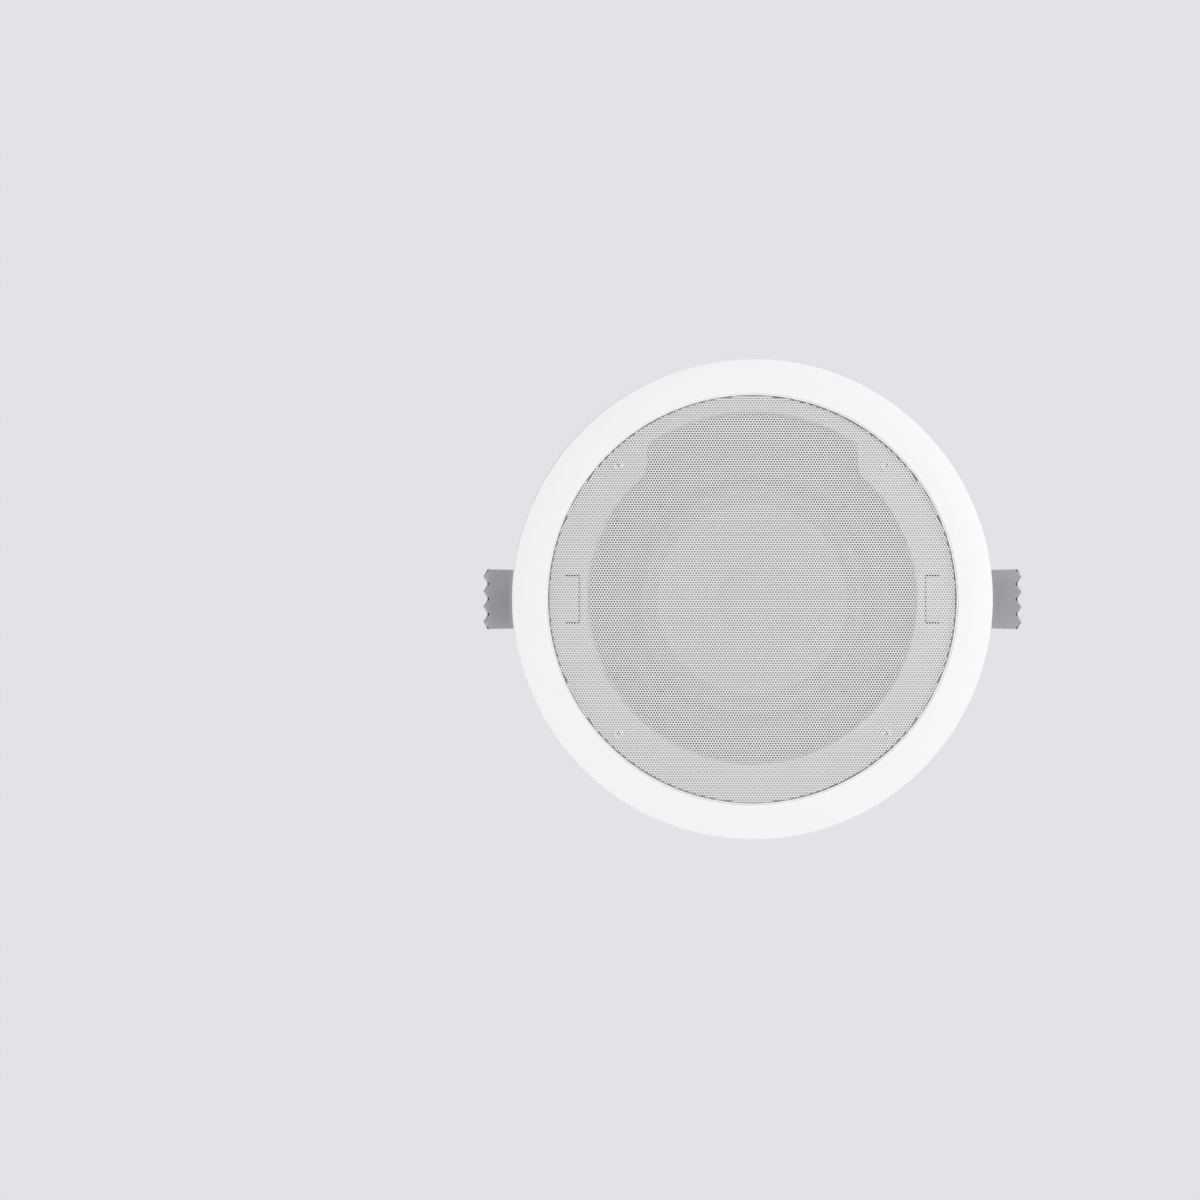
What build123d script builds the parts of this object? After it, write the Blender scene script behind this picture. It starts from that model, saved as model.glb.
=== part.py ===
"""In-ceiling speaker with two spring-loaded clamping arms.

The ceiling's lower face is z = 0. The grille faces down, along -Z, and the back box stands up into the
ceiling void, along +Z. The two arms lie on the X axis and the lobe of the back box is on the +Y side.
"""
import os
from math import cos, radians, sin, sqrt, tan

from build123d import *

os.makedirs("parts", exist_ok=True)

# Driving dimensions in millimetres, angles in degrees.

# Back box: a round cup with a lobe on one side and a flange at its mouth
box_diameter = 164.2
box_height = 91.6
box_wall = 2.8
box_rear_round = 4.0
lobe_depth = 10.9
lobe_width = 107.2
lobe_corner = 4.5
lobe_root = 9.0
flange_width = 11.6
flange_thickness = 1.8
flange_root = 2.4

# Bezel ring and its inner plate
mouth_clearance = 4.3
bezel_ring_width = 17.0
bezel_rim_height = 4.2
bezel_lip_height = 6.2
bezel_lip_width = 1.4
bezel_crown = 0.5
bezel_edge_round = 1.2
bezel_lip_round = 0.5
bezel_wall = 2.4
bezel_rib_count = 12
bezel_rib = 1.6
bezel_rib_drop = 0.5
plate_thickness = 2.2

# Domed grille, pressed from perforated sheet with a turned-back rim
grille_sheet = 0.8
grille_crown = 10.3
grille_dome = 4.5
grille_edge = 0.7
grille_clearance = 0.15

# Screws that clamp the box to the frame
frame_screw_edge = 3.1
screw_diameter = 3.0
screw_head_diameter = 5.4
screw_head_height = 2.0
screw_hole_clearance = 0.1
nut_across_corners = 6.2
nut_height = 2.4
thread_clearance = 0.02
screw_tip = 0.6

# Bracket channels
bracket_sheet = 1.2
bracket_bend = 0.8
bracket_gap = 2.6
bracket_depth = 8.9
bracket_top = 57.4
bracket_corner = 1.5
foot_clearance = 0.4
foot_setback = 0.8
anchor_hole_diameter = 2.75
anchor_hole_drop = 3.9

# Snap tongues in the frame's plate that hold the brackets' feet
tongue_gap = 0.9
tongue_length = 6.8
tongue_width = 22.6
tongue_slit = 0.9
hook_width = 8.0
hook_sheet = 1.3
hook_nose = 0.8
hook_clearance = 0.3

# Clamping arms
pivot_setback = 5.8
pivot_height = 47.2
pin_diameter = 2.4
pin_head_diameter = 3.2
pin_head_height = 0.5
pin_seat_clearance = 0.02
pin_running_clearance = 0.05
arm_sheet = 0.9
arm_width = 29.2
arm_side_clearance = 0.4
arm_ear_radius = 3.5
arm_angle = 62.4
arm_length = 35.9
arm_heel = 2.6
arm_bend = 1.0
tip_angle = 31.0
tip_length = 18.3
tooth_count = 4
tooth_depth = 3.2
tooth_pitch = 7.4
tooth_root_flat = 0.5
tooth_tip_flat = 0.2

# Torsion springs on the pivot pins
spring_wire = 0.7
spring_inner_diameter = 3.1
spring_width = 16.0
spring_arm_leg = 14.0
spring_bracket_leg = 9.0
spring_leg_slant = 10.0

# Baffle plate in the mouth of the box
baffle_recess = 8.0
baffle_thickness = 3.0
baffle_clearance = 0.4
baffle_land = 13.3
baffle_boss_inset = 3.8
baffle_screw_angles = (30, 150, 210, 330)
baffle_boss_diameter = 9.0
pilot_depth = 8.0

# Driver
basket_sheet = 1.2
basket_flange = 10.0
basket_clearance = 0.3
basket_taper = 14.0
basket_ledge = 6.0
basket_ledge_depth = 21.0
basket_floor_depth = 31.2
basket_windows = 4
basket_window_angle = 48.0
basket_window_rim = 3.0
driver_screw_edge = 3.3
surround_sheet = 0.7
surround_margin = 0.5
surround_roll = 6.5
surround_rise = 4.0
surround_lip = 2.5
gasket_width = 4.0
gasket_height = 1.6
cone_sheet = 0.6
cone_lap = 2.0
cone_depth = 18.0
cap_lap = 3.9
cap_rise = 6.0
former_diameter = 26.2
former_sheet = 0.3
coil_height = 9.0
coil_build = 0.4
glue_gap = 0.02
spider_sheet = 0.7
spider_setback = 1.0
top_plate_lap = 1.0
top_plate_thickness = 6.0
gap_clearance = 0.4
magnet_lap = 3.0
magnet_bore_clearance = 6.5
magnet_height = 15.0
yoke_inset = 1.0
yoke_thickness = 6.0

# Line transformer, terminal block and cable plug on the rear wall
core_width = 41.0
core_height = 34.0
core_stack = 14.0
core_limb = 7.0
transformer_inset = 27.0
winding_overhang = 6.0
winding_clearance = 0.2
strap_sheet = 1.0
strap_ear = 7.0
terminal_width = 26.0
terminal_depth = 11.0
terminal_height = 13.0
terminal_inset = 20.1
terminal_poles = 4
terminal_hole_diameter = 3.2
plug_diameter = 16.0
plug_lip = 1.5
plug_lip_height = 2.0
plug_inset = 21.0
plug_angle = 49.0
plug_fit = 0.02

# Sizes that follow from the ones above
box_radius = box_diameter / 2
lobe_radius = box_radius + lobe_depth
flange_radius = box_radius + flange_width
mouth_radius = flange_radius + mouth_clearance
bezel_radius = mouth_radius + bezel_ring_width
grille_radius = mouth_radius - grille_clearance
box_floor = box_height - box_wall
frame_screw_reach = flange_radius - frame_screw_edge
bracket_reach = box_radius + bracket_gap
pivot_reach = bracket_reach + pivot_setback
tongue_tip_reach = box_radius + tongue_gap
tongue_root_reach = tongue_tip_reach + tongue_length
channel_width = arm_width + 2 * arm_side_clearance
bracket_width = channel_width + 2 * bracket_sheet
foot_top = flange_thickness + bracket_sheet
screw_angles = (45, 135, 225, 315)
baffle_top = baffle_recess + baffle_thickness
baffle_screw_reach = box_radius - box_wall - baffle_boss_inset
basket_radius = box_radius - box_wall - baffle_land
throat = basket_radius - basket_flange
ledge = throat - basket_taper
waist = ledge - basket_ledge
driver_screw_reach = basket_radius - driver_screw_edge
surround_radius = driver_screw_reach - screw_head_diameter / 2 - surround_margin
roll_outer = surround_radius - gasket_width - surround_margin
roll_inner = roll_outer - surround_roll
cone_lip = roll_inner - surround_lip
transformer_reach = lobe_radius - transformer_inset
terminal_reach = box_radius - terminal_inset
flange_face = baffle_recess - basket_sheet
ledge_height = flange_face + basket_ledge_depth
magnet_seat = flange_face + basket_floor_depth + basket_sheet
gap_height = magnet_seat + top_plate_thickness
magnet_top = gap_height + magnet_height
former_radius = former_diameter / 2
coil_radius = former_radius + coil_build
cone_neck = flange_face + cone_depth
seam = 0.01
SIDES = (("right", 0), ("left", 180))


def lobed_outline(inset):
    """Outline of the back box in plan, set in from its outer face."""
    with BuildSketch() as outline:
        Circle(lobe_radius)
        Rectangle(lobe_width, 2 * lobe_radius, align=(Align.CENTER, Align.MIN), mode=Mode.INTERSECT)
        corners = outline.vertices().group_by(Axis.Y)[-1]
        fillet(corners, lobe_corner)
        Circle(box_radius)
        flanks = outline.vertices().filter_by(lambda v: abs(abs(v.X) - lobe_width / 2) < seam)
        fillet(flanks.group_by(Axis.Y)[0], lobe_root)
        if inset:
            offset(amount=-inset)
    return outline.sketch


def finish(piece, name):
    """Label a finished piece and write it as its own file."""
    piece.label = name
    export_step(piece, f"parts/{name}.step")


def screws(places, seat, length, name):
    """A group of pan-head screws driven upwards, with their heads under the seat height."""
    with BuildPart() as group:
        with BuildSketch(Plane.XY.offset(seat)):
            with Locations(*places):
                Circle(screw_head_diameter / 2)
        extrude(amount=-screw_head_height)
        with BuildSketch(Plane.XY.offset(seat)):
            with Locations(*places):
                Circle(screw_diameter / 2)
        extrude(amount=length)
    finish(group.part, name)


def cap_arc(reach, crown, rim):
    """Three points of a shallow arc from the axis to a rim, in the XZ plane."""
    sphere = (reach**2 + (rim - crown) ** 2) / (2 * (rim - crown))
    return [(r, crown + sphere - sqrt(sphere**2 - r**2)) for r in (0, reach / 2, reach)]


def polar(reach, angles):
    """Points in plan at one distance from the axis."""
    return [(reach * cos(radians(a)), reach * sin(radians(a))) for a in angles]


frame_screw_places = polar(frame_screw_reach, screw_angles)
baffle_screw_places = polar(baffle_screw_reach, baffle_screw_angles)
driver_screw_places = polar(driver_screw_reach, screw_angles)
plug_place = polar(box_radius - plug_inset, [plug_angle])[0]

# Bezel: a cored ring with a flat plate inside it, four screw holes and two snap tongues
groove_inner = mouth_radius + bezel_wall
groove_outer = bezel_radius - bezel_wall
groove_depth = bezel_rim_height - bezel_wall
with BuildPart() as bezel_frame:
    with BuildSketch(Plane.XZ) as section:
        with BuildLine():
            lip_corner = (mouth_radius, -bezel_lip_height)
            lip_edge = (mouth_radius + bezel_lip_width, -bezel_lip_height)
            rim_edge = (bezel_radius, -bezel_rim_height)
            Polyline(lip_edge, lip_corner, (mouth_radius, 0), (bezel_radius, 0), rim_edge)
            SagittaArc(rim_edge, lip_edge, bezel_crown)
        make_face()
        fillet(section.vertices().sort_by_distance(rim_edge)[0], bezel_edge_round)
        fillet(section.vertices().sort_by_distance(lip_corner)[0], bezel_lip_round)
        with Locations(((groove_inner + groove_outer) / 2, 0)):
            Rectangle(groove_outer - groove_inner, 2 * groove_depth, mode=Mode.SUBTRACT)
    revolve(axis=Axis.Z)
    with BuildSketch(Plane.XY.offset(-groove_depth)):
        with PolarLocations((groove_inner + groove_outer) / 2, bezel_rib_count):
            Rectangle(groove_outer - groove_inner + bezel_wall, bezel_rib)
    extrude(amount=groove_depth - bezel_rib_drop)
    with BuildSketch():
        Circle(mouth_radius)
        add(lobed_outline(box_wall), mode=Mode.SUBTRACT)
    extrude(amount=-plate_thickness)
    with BuildSketch():
        with Locations(*frame_screw_places):
            Circle(screw_diameter / 2 + screw_hole_clearance)
        with PolarLocations(0, 2):
            with Locations((tongue_tip_reach - tongue_slit / 2, 0)):
                slit_reach = tongue_root_reach - tongue_tip_reach + tongue_slit / 2
                Rectangle(slit_reach, tongue_width + tongue_slit, align=(Align.MIN, Align.CENTER))
        with PolarLocations(0, 2):
            with Locations((tongue_tip_reach + tongue_slit / 2, 0)):
                tongue_reach = tongue_root_reach - tongue_tip_reach
                tongue_align = (Align.MIN, Align.CENTER)
                Rectangle(tongue_reach, tongue_width - tongue_slit, align=tongue_align, mode=Mode.SUBTRACT)
    extrude(amount=-plate_thickness, mode=Mode.SUBTRACT)
    hook_back = bracket_reach + bracket_sheet + foot_setback + hook_clearance
    hook_front = hook_back + hook_sheet
    nose_height = foot_top + hook_clearance
    slot_reach = hook_sheet + hook_nose + 2 * hook_clearance
    slot_width = hook_width + 2 * hook_clearance
    with BuildSketch(Plane.XZ):
        with BuildLine():
            Polyline(
                (hook_back, -plate_thickness / 2),
                (hook_front, -plate_thickness / 2),
                (hook_front, nose_height),
                (hook_front + hook_nose, nose_height),
                (hook_front, nose_height + 2 * hook_nose),
                (hook_back, nose_height + 2 * hook_nose),
                close=True,
            )
        make_face()
        mirror(about=Plane.YZ)
    extrude(amount=hook_width / 2, both=True)
finish(bezel_frame.part, "bezel_frame")

# Grille: a shallow dome with a rim that stands on the frame's plate
grille_rim = grille_dome - grille_crown
inner_radius = grille_radius - grille_sheet
with BuildPart() as grille:
    with BuildSketch(Plane.XZ):
        with BuildLine():
            outer_dome = ThreePointArc(*cap_arc(grille_radius - grille_edge, -grille_crown, grille_rim))
            inner_crown, inner_rim = grille_sheet - grille_crown, grille_sheet + grille_rim
            inner_dome = ThreePointArc(*cap_arc(inner_radius, inner_crown, inner_rim))
            Line(outer_dome @ 0, inner_dome @ 0)
            Polyline(
                outer_dome @ 1,
                (grille_radius, grille_rim + grille_edge),
                (grille_radius, -plate_thickness),
                (inner_radius, -plate_thickness),
                inner_dome @ 1,
            )
        make_face()
    revolve(axis=Axis.Z)
finish(grille.part, "grille")

# Back box: the lobed cup, its flange, the bosses for the baffle and the slots for the snap hooks
with BuildPart() as back_box:
    with BuildSketch():
        add(lobed_outline(0))
    extrude(amount=box_height)
    fillet(back_box.faces().sort_by(Axis.Z)[-1].edges(), box_rear_round)
    with BuildSketch():
        Circle(flange_radius)
    extrude(amount=flange_thickness)
    with BuildSketch(Plane.XZ):
        with BuildLine():
            root_top = (box_radius, flange_thickness + flange_root)
            root_end = (box_radius + flange_root, flange_thickness)
            Polyline(
                root_top,
                (box_radius - box_wall / 2, flange_thickness + flange_root),
                (box_radius - box_wall / 2, flange_thickness / 2),
                (box_radius + flange_root, flange_thickness / 2),
                root_end,
            )
            RadiusArc(root_top, root_end, -flange_root)
        make_face()
    revolve(axis=Axis.Z)
    with BuildSketch():
        add(lobed_outline(box_wall))
    extrude(amount=box_floor, mode=Mode.SUBTRACT)
    with BuildSketch(Plane.XY.offset(baffle_top)):
        with Locations(*baffle_screw_places):
            Circle(baffle_boss_diameter / 2)
    extrude(amount=box_height - box_wall / 2 - baffle_top)
    with BuildSketch(Plane.XY.offset(baffle_top)):
        with Locations(*baffle_screw_places):
            Circle(screw_diameter / 2 + thread_clearance)
    extrude(amount=pilot_depth, mode=Mode.SUBTRACT)
    with BuildSketch():
        with Locations(*frame_screw_places):
            Circle(screw_diameter / 2 + screw_hole_clearance)
        with PolarLocations(0, 2):
            with Locations((hook_back - hook_clearance, 0)):
                Rectangle(slot_reach, slot_width, align=(Align.MIN, Align.CENTER))
    extrude(amount=flange_thickness + flange_root, mode=Mode.SUBTRACT)
    with BuildSketch(Plane.XY.offset(box_floor)):
        with Locations(plug_place):
            Circle(plug_diameter / 2 + plug_fit)
    extrude(amount=box_wall, mode=Mode.SUBTRACT)
finish(back_box.part, "back_box")

# Frame screws and their hex nuts
clamped_height = plate_thickness + flange_thickness + nut_height
screws(frame_screw_places, -plate_thickness, clamped_height + screw_tip, "frame_screws")
with BuildPart() as frame_nuts:
    with BuildSketch(Plane.XY.offset(flange_thickness)):
        with Locations(*frame_screw_places):
            RegularPolygon(nut_across_corners / 2, 6)
            Circle(screw_diameter / 2 + thread_clearance, mode=Mode.SUBTRACT)
    extrude(amount=nut_height)
finish(frame_nuts.part, "frame_nuts")

# Points of the arm in its own plane: along the arm, towards the bezel, and the bend
along = Vector(sin(radians(arm_angle)), -cos(radians(arm_angle)))
under = Vector(-cos(radians(arm_angle)), -sin(radians(arm_angle)))
tip_along = Vector(sin(radians(tip_angle)), -cos(radians(tip_angle)))
tip_under = Vector(-cos(radians(tip_angle)), -sin(radians(tip_angle)))
pivot = Vector(pivot_reach, pivot_height)
arm_heel_point = pivot + under * arm_ear_radius - along * arm_heel
arm_bend_point = pivot + under * arm_ear_radius + along * arm_length
arm_tip_point = arm_bend_point + tip_along * tip_length

for side, turn in SIDES:
    # Bracket: a channel open outwards, with a foot that the snap hook holds on the flange
    with BuildPart() as bracket:
        with BuildSketch(Plane.XY.offset(flange_thickness)) as channel:
            with Locations((bracket_reach, 0)):
                Rectangle(bracket_depth, bracket_width, align=(Align.MIN, Align.CENTER))
            fillet(channel.vertices().group_by(Axis.X)[0], bracket_bend + bracket_sheet)
            with BuildSketch(mode=Mode.PRIVATE) as hollow:
                with Locations((bracket_reach + bracket_sheet, 0)):
                    Rectangle(bracket_depth, channel_width, align=(Align.MIN, Align.CENTER))
                fillet(hollow.vertices().group_by(Axis.X)[0], bracket_bend)
            add(hollow.sketch, mode=Mode.SUBTRACT)
        extrude(amount=bracket_top - flange_thickness)
        outer_corners = bracket.edges().filter_by(Axis.Y).group_by(Axis.X)[-1].group_by(Axis.Z)[-1]
        fillet(outer_corners, bracket_corner)
        with BuildSketch(Plane.XY.offset(flange_thickness)):
            with Locations((bracket_reach + bracket_sheet / 2, 0)):
                foot_reach = bracket_depth - bracket_sheet / 2 - foot_setback
                foot_width = channel_width - 2 * (bracket_bend + foot_clearance)
                Rectangle(foot_reach, foot_width, align=(Align.MIN, Align.CENTER))
            with Locations((hook_back - hook_clearance, 0)):
                Rectangle(slot_reach, slot_width, align=(Align.MIN, Align.CENTER), mode=Mode.SUBTRACT)
        extrude(amount=bracket_sheet)
        with BuildSketch(Plane.XZ):
            with Locations((pivot_reach, pivot_height)):
                Circle(pin_diameter / 2 + pin_seat_clearance)
            with Locations((pivot_reach, bracket_top - anchor_hole_drop)):
                Circle(anchor_hole_diameter / 2)
        extrude(amount=bracket_width, both=True, mode=Mode.SUBTRACT)
    finish(bracket.part.rotate(Axis.Z, turn), f"{side}_bracket")

    # Arm: a folded sheet with two tapered side flanges and a toothed tip
    with BuildPart() as arm:
        with BuildSketch(Plane.XZ):
            with BuildLine():
                FilletPolyline(arm_heel_point, arm_bend_point, arm_tip_point, radius=arm_bend)
                offset(amount=arm_sheet, side=Side.LEFT)
            make_face()
        extrude(amount=arm_width / 2, both=True)
        with BuildSketch(Plane.XZ.offset(arm_width / 2)):
            with Locations(pivot):
                Circle(arm_ear_radius)
            with Locations(arm_bend_point - under * (arm_sheet / 2)):
                Circle(arm_sheet / 2)
            make_hull()
        extrude(amount=-arm_sheet)
        mirror(about=Plane.XZ)
        with BuildSketch(Plane.XZ):
            with Locations(pivot):
                Circle(pin_diameter / 2 + pin_running_clearance)
        extrude(amount=arm_width, both=True, mode=Mode.SUBTRACT)
        tip_plane = Plane(
            origin=(arm_tip_point.X, 0, arm_tip_point.Y),
            x_dir=(0, 1, 0),
            z_dir=(tip_under.X, 0, tip_under.Y),
        )
        with BuildSketch(tip_plane):
            notch_mouth = tooth_pitch - tooth_tip_flat
            with Locations(*[((n - tooth_count / 2) * tooth_pitch, 0) for n in range(tooth_count + 1)]):
                Polygon(
                    (-notch_mouth / 2, 0),
                    (-tooth_root_flat / 2, -tooth_depth),
                    (tooth_root_flat / 2, -tooth_depth),
                    (notch_mouth / 2, 0),
                    align=None,
                )
        extrude(amount=2 * arm_sheet, both=True, mode=Mode.SUBTRACT)
    finish(arm.part.rotate(Axis.Z, turn), f"{side}_arm")

    # Pivot pin, with a riveted head outside each wall of the bracket
    with BuildPart() as pin:
        with BuildSketch(Plane.XZ):
            with Locations(pivot):
                Circle(pin_diameter / 2)
        extrude(amount=bracket_width / 2 + pin_head_height, both=True)
        with BuildSketch(Plane.XZ.offset(bracket_width / 2)):
            with Locations(pivot):
                Circle(pin_head_diameter / 2)
        extrude(amount=pin_head_height)
        mirror(about=Plane.XZ)
    finish(pin.part.rotate(Axis.Z, turn), f"{side}_pivot_pin")

    # Torsion spring: the close-wound coil as a sleeve, with one leg on the arm and one on the bracket
    with BuildPart() as spring:
        with BuildSketch(Plane.XZ):
            with Locations(pivot):
                Circle(spring_inner_diameter / 2 + spring_wire)
                Circle(spring_inner_diameter / 2, mode=Mode.SUBTRACT)
        extrude(amount=spring_width / 2, both=True)
        leg_offset = (spring_inner_diameter + spring_wire) / 2
        leg_side = (spring_width - spring_wire) / 2
        arm_leg = pivot + under * leg_offset
        with BuildSketch(Plane(origin=(arm_leg.X, leg_side, arm_leg.Y), z_dir=(along.X, 0, along.Y))):
            Circle(spring_wire / 2)
        extrude(amount=spring_arm_leg)
        slant = radians(spring_leg_slant)
        bracket_leg = Plane(
            origin=(pivot.X - leg_offset * cos(slant), -leg_side, pivot.Y - leg_offset * sin(slant)),
            z_dir=(-sin(slant), 0, cos(slant)),
        )
        with BuildSketch(bracket_leg):
            Circle(spring_wire / 2)
        extrude(amount=spring_bracket_leg)
    finish(spring.part.rotate(Axis.Z, turn), f"{side}_torsion_spring")

# Baffle plate: fills the mouth of the box and carries the driver
with BuildPart() as baffle_plate:
    with BuildSketch(Plane.XY.offset(baffle_recess)):
        add(lobed_outline(box_wall + baffle_clearance))
        Circle(throat + basket_sheet + basket_clearance, mode=Mode.SUBTRACT)
        with Locations(*baffle_screw_places):
            Circle(screw_diameter / 2 + screw_hole_clearance, mode=Mode.SUBTRACT)
        with Locations(*driver_screw_places):
            Circle(screw_diameter / 2 + thread_clearance, mode=Mode.SUBTRACT)
    extrude(amount=baffle_thickness)
finish(baffle_plate.part, "baffle_plate")
screws(baffle_screw_places, baffle_recess, baffle_thickness + pilot_depth - screw_tip, "baffle_screws")
screws(driver_screw_places, flange_face, basket_sheet + baffle_thickness + screw_tip, "driver_screws")

# Driver basket: a pressed steel pan with a stepped wall and windows
with BuildPart() as driver_basket:
    with BuildSketch(Plane.XZ):
        with BuildLine():
            Polyline(
                (basket_radius, flange_face),
                (throat, flange_face),
                (ledge, ledge_height),
                (waist, ledge_height),
                (waist, magnet_seat - basket_sheet),
                (coil_radius + gap_clearance, magnet_seat - basket_sheet),
                (coil_radius + gap_clearance, magnet_seat),
                (waist + basket_sheet, magnet_seat),
                (waist + basket_sheet, ledge_height + basket_sheet),
                (ledge + basket_sheet, ledge_height + basket_sheet),
                (throat + basket_sheet, baffle_recess),
                (basket_radius, baffle_recess),
                close=True,
            )
        make_face()
    revolve(axis=Axis.Z)
    with BuildSketch(Plane.XY.offset(baffle_top + basket_window_rim)):
        half_window = basket_radius * tan(radians(basket_window_angle / 2))
        with PolarLocations(0, basket_windows):
            Polygon((0, 0), (basket_radius, -half_window), (basket_radius, half_window), align=None)
    extrude(amount=ledge_height - baffle_top - 2 * basket_window_rim, mode=Mode.SUBTRACT)
    with BuildSketch(Plane.XY.offset(flange_face)):
        with Locations(*driver_screw_places):
            Circle(screw_diameter / 2 + screw_hole_clearance)
    extrude(amount=basket_sheet, mode=Mode.SUBTRACT)
finish(driver_basket.part, "driver_basket")


def ring(points, name):
    """A turned or pressed piece, from its half section in the XZ plane."""
    with BuildPart() as piece:
        with BuildSketch(Plane.XZ):
            with BuildLine():
                Polyline(*points, close=True)
            make_face()
        revolve(axis=Axis.Z)
    finish(piece.part, name)


def washer(inner, outer, low, high, name):
    """A plain flat ring between two heights."""
    ring([(inner, low), (outer, low), (outer, high), (inner, high)], name)


# Surround, with the gasket that clamps its outer lip
roll_crest = (roll_outer + roll_inner) / 2
lip_face = flange_face - surround_sheet
ring(
    [
        (cone_lip, flange_face),
        (surround_radius, flange_face),
        (surround_radius, lip_face),
        (roll_outer, lip_face),
        (roll_crest, lip_face - surround_rise),
        (roll_inner, lip_face),
        (cone_lip, lip_face),
    ],
    "surround",
)
washer(surround_radius - gasket_width, surround_radius, lip_face - gasket_height, lip_face, "driver_gasket")

# Cone, dust cap, former and voice coil: the moving assembly
cone_neck_radius = former_radius + glue_gap
cone_slope = cone_depth / (cone_lip - cone_neck_radius)
ring(
    [
        (cone_lip + cone_lap, flange_face),
        (cone_lip, flange_face),
        (cone_neck_radius, cone_neck),
        (cone_neck_radius, cone_neck + cone_sheet),
        (cone_lip, flange_face + cone_sheet),
        (cone_lip + cone_lap, flange_face + cone_sheet),
    ],
    "cone",
)
cap_radius = cone_neck_radius + cap_lap
cap_rim = cone_neck - (cap_radius - cone_neck_radius) * cone_slope - glue_gap
with BuildPart() as dust_cap:
    with BuildSketch(Plane.XZ):
        with BuildLine():
            crown = cap_rim - cap_rise
            outer_arc = ThreePointArc(*cap_arc(cap_radius, crown, cap_rim))
            inner_arc = ThreePointArc(*cap_arc(cap_radius - cone_sheet, crown + cone_sheet, cap_rim))
            Line(outer_arc @ 0, inner_arc @ 0)
            Line(outer_arc @ 1, inner_arc @ 1)
        make_face()
    revolve(axis=Axis.Z)
finish(dust_cap.part, "dust_cap")
coil_middle = magnet_seat + top_plate_thickness / 2
coil_end = coil_middle + coil_height / 2
washer(former_radius - former_sheet, former_radius, cone_neck - cone_sheet, coil_end, "coil_former")
washer(former_radius + glue_gap, coil_radius, coil_middle - coil_height / 2, coil_end, "voice_coil")

# Spider, on the basket's ledge
washer(former_radius + glue_gap, ledge - spider_setback, ledge_height - spider_sheet, ledge_height, "spider")

# Magnet system: top plate, ring magnet and pole yoke
pole_radius = former_radius - former_sheet - gap_clearance
plate_radius = waist + top_plate_lap
washer(coil_radius + gap_clearance, plate_radius, magnet_seat, gap_height, "top_plate")
magnet_bore = coil_radius + magnet_bore_clearance
washer(magnet_bore, plate_radius + magnet_lap, gap_height, magnet_top, "magnet")
yoke_top = magnet_top + yoke_thickness
ring(
    [
        (0, magnet_seat),
        (pole_radius, magnet_seat),
        (pole_radius, magnet_top),
        (plate_radius - yoke_inset, magnet_top),
        (plate_radius - yoke_inset, yoke_top),
        (0, yoke_top),
    ],
    "pole_yoke",
)

# Line transformer: laminated core, winding on its middle limb, and the strap that holds it to the rear wall
core_foot = box_floor - core_height
core_plane = Plane.XZ.offset(-transformer_reach)
window_height = core_height - 2 * core_limb
window_width = (core_width - 4 * core_limb) / 2
with BuildPart() as transformer_core:
    with BuildSketch(core_plane):
        with Locations((0, core_foot)):
            Rectangle(core_width, core_height, align=(Align.CENTER, Align.MIN))
        with Locations((0, core_foot + core_height / 2)):
            with GridLocations(2 * core_limb + window_width, 0, 2, 1):
                Rectangle(window_width, window_height, mode=Mode.SUBTRACT)
    extrude(amount=core_stack / 2, both=True)
finish(transformer_core.part, "transformer_core")
with BuildPart() as transformer_winding:
    with BuildSketch(Plane.XY.offset(core_foot + core_limb + winding_clearance)):
        with Locations((0, transformer_reach)):
            winding_span = 2 * (core_limb + window_width - winding_clearance)
            Rectangle(winding_span, core_stack + 2 * winding_overhang)
            limb_hole = 2 * winding_clearance
            Rectangle(2 * core_limb + limb_hole, core_stack + limb_hole, mode=Mode.SUBTRACT)
    extrude(amount=window_height - 2 * winding_clearance)
finish(transformer_winding.part, "transformer_winding")
with BuildPart() as transformer_strap:
    with BuildSketch(core_plane):
        strap_width = core_width + 2 * strap_sheet
        with Locations((0, box_floor)):
            Rectangle(strap_width, core_height + strap_sheet, align=(Align.CENTER, Align.MAX))
            Rectangle(strap_width + 2 * strap_ear, strap_sheet, align=(Align.CENTER, Align.MAX))
            Rectangle(core_width, core_height, align=(Align.CENTER, Align.MAX), mode=Mode.SUBTRACT)
    extrude(amount=core_stack / 2, both=True)
finish(transformer_strap.part, "transformer_strap")

# Terminal block on the rear wall, and the rubber plug that closes the cable hole
with BuildPart() as terminal_block:
    with BuildSketch(Plane.XY.offset(box_floor)):
        with Locations((0, -terminal_reach)):
            Rectangle(terminal_width, terminal_depth)
    extrude(amount=-terminal_height)
    with BuildSketch(Plane.XZ.offset(terminal_reach - terminal_depth / 2)):
        with Locations((0, box_floor - terminal_height / 2)):
            with GridLocations(terminal_width / terminal_poles, 0, terminal_poles, 1):
                Circle(terminal_hole_diameter / 2)
    extrude(amount=terminal_depth / 2, mode=Mode.SUBTRACT)
finish(terminal_block.part, "terminal_block")
with BuildPart() as cable_plug:
    with BuildSketch(Plane.XY.offset(box_height)):
        with Locations(plug_place):
            Circle(plug_diameter / 2)
    extrude(amount=-box_wall)
    with BuildSketch(Plane.XY.offset(box_floor)):
        with Locations(plug_place):
            Circle(plug_diameter / 2 + plug_lip)
    extrude(amount=-plug_lip_height)
finish(cable_plug.part, "cable_plug")
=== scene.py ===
"""Looks of an in-ceiling speaker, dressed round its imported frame.

The grille faces down, along -Z, and the camera looks straight up at it from below. Lengths are metres.
"""
from __future__ import annotations

import logging
import math
from dataclasses import dataclass
from enum import Enum
from functools import partial

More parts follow.
